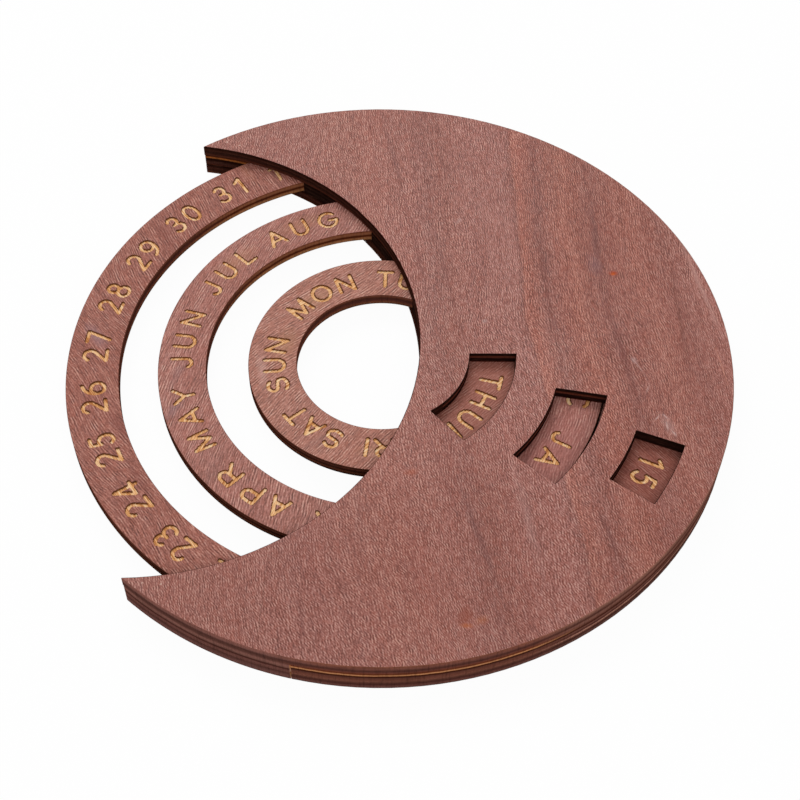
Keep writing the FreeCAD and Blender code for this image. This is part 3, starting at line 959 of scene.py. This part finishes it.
DAY_MARKS_AND_SHADE = (
    (-26.9, -11.6, 9.0, 0.3, 43.0, 0.5, 0.60, "#785246"),
    (-24.9, 2.7, 12.0, 6.0, 80.0, 1.0, 0.40, "#B0825C"),
    (-19.6, 15.9, 14.0, 6.0, 45.0, 1.0, 0.40, "#B4865E"),
    (-29.1, -4.5, 12.0, 3.0, 100.0, 1.0, 0.45, "#CCA69C"),
    (-15.1, -21.9, 14.0, 3.0, 45.0, 1.0, 0.40, "#7E5A54"),
    (-2.5, -23.6, 12.0, 5.0, 10.0, 1.0, 0.35, "#B08660"),
    # Painted window shade: the ring darker and redder where it shows through the day window.
    (16.6, -11.7, 60.0, 30.0, 60.0, 0.6, 0.45, "#8E4C40"),
)

# Ply lines from a sheet's underside to its top, as the photographed edges show them.
COVER_HORN = (
    (0.0, "#704A42"), (0.1, "#684239"), (0.25, "#5A3831"), (0.5, "#5A3831"), (0.64, "#80554D"),
    (0.8, "#8C5C52"), (1.0, "#8C5A50"),
)
COVER_FRONT = (
    (0.0, "#743A24"), (0.07, "#723C2A"), (0.21, "#704036"), (0.34, "#5A342C"), (0.46, "#54302A"),
    (0.6, "#6C4238"), (0.72, "#7C4C40"), (0.88, "#824E40"), (1.0, "#865240"),
)
COVER_RIGHT = (
    (0.0, "#82564A"), (0.2, "#885C50"), (0.34, "#6E4438"), (0.44, "#5A342A"), (0.6, "#724A40"),
    (0.75, "#865A4E"), (0.9, "#8E6052"), (1.0, "#946656"),
)
MIDDLE_FRONT = (
    (0.0, "#7E4E40"), (0.2, "#744436"), (0.4, "#643C33"), (0.55, "#3E1A10"), (0.65, "#4C2414"),
    (0.73, "#CC8A5C"), (0.79, "#D09264"), (0.87, "#84482C"), (0.96, "#6A3420"), (1.0, "#66321E"),
)
MIDDLE_RIGHT = (
    (0.0, "#A47260"), (0.06, "#744A3C"), (0.16, "#54302A"), (0.3, "#6A4038"), (0.42, "#805448"),
    (0.54, "#50281E"), (0.64, "#482218"), (0.8, "#6C4236"), (0.92, "#7E5246"), (1.0, "#82564A"),
)
MIDDLE_HORN = (
    (0.0, "#764C44"), (0.2, "#764C44"), (0.32, "#56302A"), (0.42, "#48261E"), (0.52, "#704A42"),
    (0.62, "#83594E"), (0.8, "#8C5E54"), (0.92, "#7C5148"), (1.0, "#6D473F"),
)
BACK_FRONT = (
    (0.0, "#5A3A34"), (0.1, "#765048"), (0.3, "#70463E"), (0.5, "#54302A"), (0.62, "#54302A"),
    (0.79, "#674034"), (0.92, "#7E4E40"), (1.0, "#7E4E40"),
)
BACK_RIGHT = (
    (0.0, "#583C34"), (0.2, "#6E4A42"), (0.36, "#684640"), (0.52, "#502F27"), (0.64, "#4E2C24"),
    (0.78, "#744C40"), (0.86, "#8E5E50"), (0.94, "#BE8C78"), (1.0, "#B48070"),
)
BACK_HORN = (
    (0.0, "#5E3E3A"), (0.1, "#765048"), (0.36, "#7C524C"), (0.57, "#6A4640"), (0.79, "#5A362F"),
    (0.92, "#704840"), (1.0, "#764C44"),
)
COVER_HOLLOW = (
    (0.0, "#3E1A11"), (0.12, "#552A1E"), (0.3, "#3A1E17"), (0.5, "#2E1712"), (0.62, "#46261D"),
    (0.8, "#331912"), (0.93, "#1E0B07"), (1.0, "#3A1A13"),
)
GUIDE_HOLLOW = (
    (0.0, "#1C0E0A"), (0.3, "#2C1A15"), (0.5, "#1A0B08"), (0.7, "#2E1B15"), (0.85, "#1E0D09"),
    (1.0, "#140705"),
)
HORN_HOLLOW = (
    (0.0, "#6A3318"), (0.08, "#44211A"), (0.3, "#4A2A22"), (0.5, "#2C130E"), (0.62, "#1A0906"),
    (0.72, "#40190D"), (0.80, "#B06A34"), (0.88, "#8A4620"), (1.0, "#2A0F08"),
)
BACK_HOLLOW = (
    (0.0, "#8A4E28"), (0.10, "#5A2E1C"), (0.3, "#3A1C14"), (0.6, "#4A271E"), (0.85, "#2A120D"),
    (1.0, "#1C0A07"),
)
WINDOW_WALL = (
    (0.0, "#7A2A1A"), (0.06, "#4A180E"), (0.16, "#1C0C0A"), (0.46, "#261210"), (0.56, "#6A3628"),
    (0.68, "#5A2C20"), (0.78, "#1E0E0A"), (0.90, "#241210"), (1.0, "#180A08"),
)
DATE_WINDOW_WALL = (
    (0.0, "#5A281C"), (0.10, "#2A1410"), (0.3, "#1C0E0C"), (0.55, "#2E1814"), (0.8, "#1E100C"),
    (1.0, "#180A08"),
)
RING_INSIDE = (
    (0.0, "#5A3224"), (0.12, "#70442F"), (0.26, "#7A4630"), (0.4, "#64342A"), (0.5, "#583028"),
    (0.62, "#4E2A22"), (0.72, "#4E2A20"), (0.84, "#623628"), (0.93, "#7A4634"), (1.0, "#5E3226"),
)
# A paler, amber look for a ring's inside wall, used from a given x onward.
RING_INSIDE_AMBER = (
    (0.0, "#8A5A3A"), (0.07, "#A0683E"), (0.2, "#B07850"), (0.32, "#A06440"), (0.44, "#5A2814"),
    (0.56, "#54220F"), (0.66, "#8A5438"), (0.76, "#9C6244"), (0.86, "#94583C"), (0.95, "#8A5038"),
    (1.0, "#6A3828"),
)
RING_OUTSIDE = (
    (0.0, "#2A120C"), (0.2, "#4A261A"), (0.32, "#6A3A28"), (0.46, "#32160E"), (0.62, "#44221A"),
    (0.76, "#66382A"), (0.88, "#3A1A10"), (0.96, "#6A3C2C"), (1.0, "#7A4A3C"),
)
JOINT_FACE = (
    (0.0, "#A87058"), (0.25, "#D8AC90"), (0.5, "#B8805C"), (0.8, "#C88A58"), (1.0, "#9A5A34"),
)

# Every kind of burnt edge: the node that it is fitted to, and from which x in mm each look starts.
EDGES = {
    "cover_rim": ("front_cover", ((0.0, COVER_HORN), (-15.0, COVER_FRONT), (34.0, COVER_RIGHT))),
    "middle_rim": ("rim_spacer", ((0.0, MIDDLE_FRONT), (34.0, MIDDLE_RIGHT))),
    "middle_horn_rim": ("rim_spacer", ((0.0, MIDDLE_HORN),)),
    "back_rim": ("back_plate", ((0.0, BACK_FRONT), (34.0, BACK_RIGHT))),
    "back_horn_rim": ("back_plate", ((0.0, BACK_HORN),)),
    "cover_hollow": ("front_cover", ((0.0, COVER_HOLLOW),)),
    "guide_hollow": ("rim_spacer", ((0.0, GUIDE_HOLLOW),)),
    "horn_hollow": ("rim_spacer", ((0.0, HORN_HOLLOW),)),
    "back_hollow": ("back_plate", ((0.0, BACK_HOLLOW),)),
    "window_wall": ("front_cover", ((0.0, WINDOW_WALL), (46.0, DATE_WINDOW_WALL))),
    "middle_joint": ("rim_spacer", ((0.0, JOINT_FACE),)),
    "back_joint": ("back_plate", ((0.0, JOINT_FACE),)),
    "ring_outside": ("date_ring", ((0.0, RING_OUTSIDE),)),
    "day_ring_inside": ("date_ring", ((0.0, RING_INSIDE),)),
    "month_ring_inside": ("date_ring", ((0.0, RING_INSIDE), (-36.0, RING_INSIDE_AMBER))),
    "date_ring_inside": ("date_ring", ((0.0, RING_INSIDE), (-46.0, RING_INSIDE_AMBER))),
}


def made_once(name, make, *choices, **settings):
    """A finish that several pieces share."""
    return bpy.data.materials.get(name) or make(name, *choices, **settings)


def edge_finish(kind):
    return made_once("laser_cut_" + kind, burnt_edge, *EDGES[kind])


class CalendarSizes(bpy.types.PropertyGroup):
    """Sizes of the worn corners and of the engraving."""
    arris: bpy.props.FloatProperty(
        name="Arris", description="Width of the worn corner along the cut edges",
        default=0.00009, unit="LENGTH")
    cover_arris: bpy.props.FloatProperty(
        name="Cover arris", description="Width of the burnt corner along the cover's cut edges",
        default=0.00014, unit="LENGTH")
    groove_depth: bpy.props.FloatProperty(
        name="Groove depth", description="How deep the words and numbers are engraved",
        default=0.00034, unit="LENGTH")
    stroke_width: bpy.props.FloatProperty(
        name="Stroke width", description="Width of an engraved stroke",
        default=0.00086, unit="LENGTH")
    burn_width: bpy.props.FloatProperty(
        name="Burn width", description="Width of the brown margin beside a stroke",
        default=0.00022, unit="LENGTH")
    date_cap: bpy.props.FloatProperty(
        name="Date height", description="Height of a digit between its stroke middles",
        default=0.00485, unit="LENGTH")
    word_cap: bpy.props.FloatProperty(
        name="Letter height", description="Height of a capital between its stroke middles",
        default=0.0042, unit="LENGTH")
    month_spacing: bpy.props.FloatProperty(
        name="Month spacing", description="Extra room between the letters of a month",
        default=0.00115, unit="LENGTH")
    date_baseline: bpy.props.FloatProperty(
        name="Date baseline", description="Radius that the digits stand on",
        default=0.0593, unit="LENGTH")
    month_baseline: bpy.props.FloatProperty(
        name="Month baseline", description="Radius that the months stand on",
        default=0.0409, unit="LENGTH")
    day_baseline: bpy.props.FloatProperty(
        name="Day baseline", description="Radius that the weekdays stand on",
        default=0.0210, unit="LENGTH")


class CalendarStudio(bpy.types.PropertyGroup):
    """Light and floor of the studio."""
    key_power: bpy.props.FloatProperty(
        name="Key lamp", description="Power of the large lamp behind and above",
        default=4.0, unit="POWER")
    fill_power: bpy.props.FloatProperty(
        name="Fill lamp", description="Power of the wide lamp in front",
        default=2.4, unit="POWER")
    surround: bpy.props.FloatProperty(
        name="Surround", description="Strength of the pale surround that lights the object",
        default=0.44)
    floor_glow: bpy.props.FloatProperty(
        name="Floor white", description="How far the floor is seen as plain white, from 0 to 1",
        default=0.96, min=0.0, max=1.0, subtype="FACTOR")
    floor_colour: bpy.props.FloatVectorProperty(
        name="Floor colour", description="Colour of the plain floor", subtype="COLOR", size=4,
        default=linear("#F4F4F4"))


def sizes():
    return bpy.context.scene.calendar_sizes


def casing_sheet(node, form, rim, joint, hollow):
    """A sheet or strip under the cover, with the same cut along the hollow and under a window."""
    cuts = {"rim": rim, "joint": joint, "window": hollow, "hollow": hollow}
    finishes = {kind: edge_finish(finish) for kind, finish in cuts.items()}
    veneer = made_once("stained_inner_veneer", stained_veneer, INNER_STAIN, COVER_LAYERS,
                       COVER_LINES, bearing=94.0, shift=(11.0, 7.0, 3.0))
    cut_sheet(node, f"{node}_{form}", veneer, finishes, sizes().arris)


class CALENDAR_OT_front_cover(bpy.types.Operator):
    """Make the crescent cover sheet with its three windows"""
    bl_idname = "calendar.front_cover"
    bl_label = "Front Cover"

    def execute(self, context):
        veneer = stained_veneer("stained_cover_veneer", COVER_STAIN, COVER_LAYERS, COVER_LINES,
                                bearing=98.5, bands=COVER_BANDS, marks_and_shade=COVER_MARKS_AND_SHADE)
        cuts = {"rim": edge_finish("cover_rim"), "joint": edge_finish("cover_rim"),
                "window": edge_finish("window_wall"), "hollow": edge_finish("cover_hollow")}
        cut_sheet("front_cover", "cover_sheet", veneer, cuts, sizes().cover_arris)
        return {"FINISHED"}


class CALENDAR_OT_back_sheets(bpy.types.Operator):
    """Make the bottom sheet and its two horn ends"""
    bl_idname = "calendar.back_sheets"
    bl_label = "Back Sheets"

    def execute(self, context):
        casing_sheet("back_plate", "sheet", "back_rim", "back_joint", "back_hollow")
        for node in ("back_horn_upper", "back_horn_lower"):
            casing_sheet(node, "sheet", "back_horn_rim", "back_joint", "back_hollow")
        return {"FINISHED"}


class CALENDAR_OT_rim_strips(bpy.types.Operator):
    """Make the outer strips of the middle layer"""
    bl_idname = "calendar.rim_strips"
    bl_label = "Rim Strips"

    def execute(self, context):
        casing_sheet("rim_spacer", "strip", "middle_rim", "middle_joint", "guide_hollow")
        for node in ("rim_horn_upper", "rim_horn_lower"):
            casing_sheet(node, "strip", "middle_horn_rim", "middle_joint", "horn_hollow")
        return {"FINISHED"}


class CALENDAR_OT_ring_guides(bpy.types.Operator):
    """Make the guides between and inside the rings"""
    bl_idname = "calendar.ring_guides"
    bl_label = "Ring Guides"

    def execute(self, context):
        for node in ("date_month_guide", "month_day_guide", "day_guide"):
            casing_sheet(node, "strip", "guide_hollow", "guide_hollow", "guide_hollow")
        return {"FINISHED"}


def make_ring(node, strokes, steps, stain, bearing, smoke_deg, shift, marks_and_shade):
    """A lettered ring: its stain, the bearing of its grain and the way that the smoke blew."""
    finishes = (
        stained_veneer(f"stained_{node}_veneer", stain, RING_LAYERS, RING_LINES, bearing,
                       shift=shift, marks_and_shade=marks_and_shade, engraved=True),
        edge_finish("ring_outside"),
        edge_finish(node + "_inside"),
        bare_groove_floor(f"bare_{node}_groove", bearing, shift),
        made_once("scorched_groove_wall", burnt_groove_wall),
    )
    turned_ring(node, node + "_disc", steps, strokes, smoke_deg, finishes, sizes())


class CALENDAR_OT_date_ring(bpy.types.Operator):
    """Make the outer ring with the numbers 1 to 31"""
    bl_idname = "calendar.date_ring"
    bl_label = "Date Ring"

    def execute(self, context):
        make_ring("date_ring", date_strokes(sizes()), steps=720, stain=DATE_STAIN,
                  bearing=128.0, smoke_deg=110.0, shift=(3.0, 21.0, 5.0), marks_and_shade=DATE_MARKS_AND_SHADE)
        return {"FINISHED"}


class CALENDAR_OT_month_ring(bpy.types.Operator):
    """Make the middle ring with the twelve months"""
    bl_idname = "calendar.month_ring"
    bl_label = "Month Ring"

    def execute(self, context):
        make_ring("month_ring", month_strokes(sizes()), steps=540, stain=MONTH_STAIN,
                  bearing=73.0, smoke_deg=-35.0, shift=(31.0, 2.0, 9.0), marks_and_shade=MONTH_MARKS_AND_SHADE)
        return {"FINISHED"}


class CALENDAR_OT_day_ring(bpy.types.Operator):
    """Make the inner ring with the seven weekdays"""
    bl_idname = "calendar.day_ring"
    bl_label = "Day Ring"

    def execute(self, context):
        make_ring("day_ring", day_strokes(sizes()), steps=360, stain=DAY_STAIN,
                  bearing=45.0, smoke_deg=25.0, shift=(17.0, 13.0, 1.0), marks_and_shade=DAY_MARKS_AND_SHADE)
        return {"FINISHED"}


def area_lamp(name, location, size, power):
    """A rectangular lamp that points at the middle of the calendar."""
    bpy.ops.object.light_add(type="AREA", location=location)
    lamp = bpy.context.active_object
    lamp.name = name
    lamp.data.shape = "RECTANGLE"
    lamp.data.size, lamp.data.size_y = size
    lamp.data.energy = power
    lamp.rotation_euler = (-Vector(location)).to_track_quat("-Z", "Y").to_euler()


# The place and the size of each lamp, and the floor, in metres. The floor is just under the
# calendar.
KEY_LAMP = ((-0.25, 0.55, 0.75), (0.7, 0.5))
FILL_LAMP = ((0.1, -0.5, 0.7), (0.9, 0.6))
FLOOR_SIZE = 6.0
FLOOR_DROP = 0.00002
# The camera as worked out from the photograph: its place in mm and its turn about x, y and z.
CAMERA_PLACE_MM = (10.175, -209.589, 272.929)
CAMERA_TURN_DEG = (36.705, -0.589, 3.468)
CAMERA_LENS_MM = 70.93
CAMERA_SENSOR_MM = 36.0
CAMERA_CLIP = (0.01, 20.0)


def paper_white(tree, shader, strength):
    """Adds plain white to a shader where the camera, a gloss or a clear part sees it."""
    path = add_node(tree, "LightPath")
    seen = path["Is Camera Ray"]
    for ray in ("Is Glossy Ray", "Is Transmission Ray"):
        seen = add_node(tree, "Math", {0: seen, 1: path[ray]}, operation="MAXIMUM")[0]
    share = add_node(tree, "Math", {0: seen, 1: strength}, operation="MULTIPLY")[0]
    white = add_node(tree, "Emission", {"Color": linear("#FFFFFF"), "Strength": 1.0})[0]
    return add_node(tree, "MixShader", {0: share, 1: shader, 2: white})[0]


class CALENDAR_OT_stage(bpy.types.Operator):
    """Set up the pale floor, the lamps, the surround and the camera"""
    bl_idname = "calendar.stage"
    bl_label = "Stage"

    def execute(self, context):
        studio = context.scene.calendar_studio
        deselect_all()
        bpy.ops.mesh.primitive_plane_add(size=FLOOR_SIZE, location=(0.0, 0.0, -FLOOR_DROP))
        floor = context.active_object
        floor.name = "stage_floor"
        # Matt white card, lit to plain white; its diffuse part keeps the object's shadow.
        material, tree = new_material("matt_white_card")
        card = add_node(tree, "BsdfDiffuse", {0: tuple(studio.floor_colour)})[0]
        add_node(tree, "OutputMaterial", {0: paper_white(tree, card, studio.floor_glow)})
        floor.data.materials.append(material)
        area_lamp("key_lamp", *KEY_LAMP, studio.key_power)
        area_lamp("fill_lamp", *FILL_LAMP, studio.fill_power)
        world = bpy.data.worlds.new("pale_surround")
        context.scene.world = world
        world.use_nodes = True
        sky = world.node_tree
        sky.nodes.clear()
        glow = add_node(sky, "Background", {
            "Color": linear("#FFFFFF"), "Strength": studio.surround})[0]
        add_node(sky, "OutputWorld", {0: paper_white(sky, glow, 1.0)})
        turn = [math.radians(angle) for angle in CAMERA_TURN_DEG]
        bpy.ops.object.camera_add(location=Vector(CAMERA_PLACE_MM) * MM, rotation=turn)
        camera = context.active_object
        camera.name = "photo_camera"
        camera.data.sensor_width = CAMERA_SENSOR_MM
        camera.data.lens = CAMERA_LENS_MM
        camera.data.clip_start, camera.data.clip_end = CAMERA_CLIP
        context.scene.camera = camera
        context.scene.view_settings.view_transform = "Standard"
        return {"FINISHED"}


OPERATORS = (
    CALENDAR_OT_front_cover, CALENDAR_OT_back_sheets, CALENDAR_OT_rim_strips,
    CALENDAR_OT_ring_guides, CALENDAR_OT_date_ring, CALENDAR_OT_month_ring, CALENDAR_OT_day_ring,
    CALENDAR_OT_stage,
)


class CALENDAR_PT_sidebar(bpy.types.Panel):
    bl_idname = "CALENDAR_PT_sidebar"
    bl_label = "Desk Calendar"
    bl_space_type = "VIEW_3D"
    bl_region_type = "UI"
    bl_category = "Calendar"

    def draw(self, context):
        column = self.layout.column()
        for operator in OPERATORS:
            column.operator(operator.bl_idname)
        for group in (context.scene.calendar_sizes, context.scene.calendar_studio):
            for name in group.__annotations__:
                column.prop(group, name)


CLASSES = (CalendarSizes, CalendarStudio, *OPERATORS, CALENDAR_PT_sidebar)


def register():
    for cls in CLASSES:
        bpy.utils.register_class(cls)
    bpy.types.Scene.calendar_sizes = bpy.props.PointerProperty(type=CalendarSizes)
    bpy.types.Scene.calendar_studio = bpy.props.PointerProperty(type=CalendarStudio)


def unregister():
    del bpy.types.Scene.calendar_studio
    del bpy.types.Scene.calendar_sizes
    for cls in reversed(CLASSES):
        bpy.utils.unregister_class(cls)


def main():
    register()
    for operator in OPERATORS:
        category, name = operator.bl_idname.split(".")
        getattr(getattr(bpy.ops, category), name)()


if __name__ == "__main__":
    main()
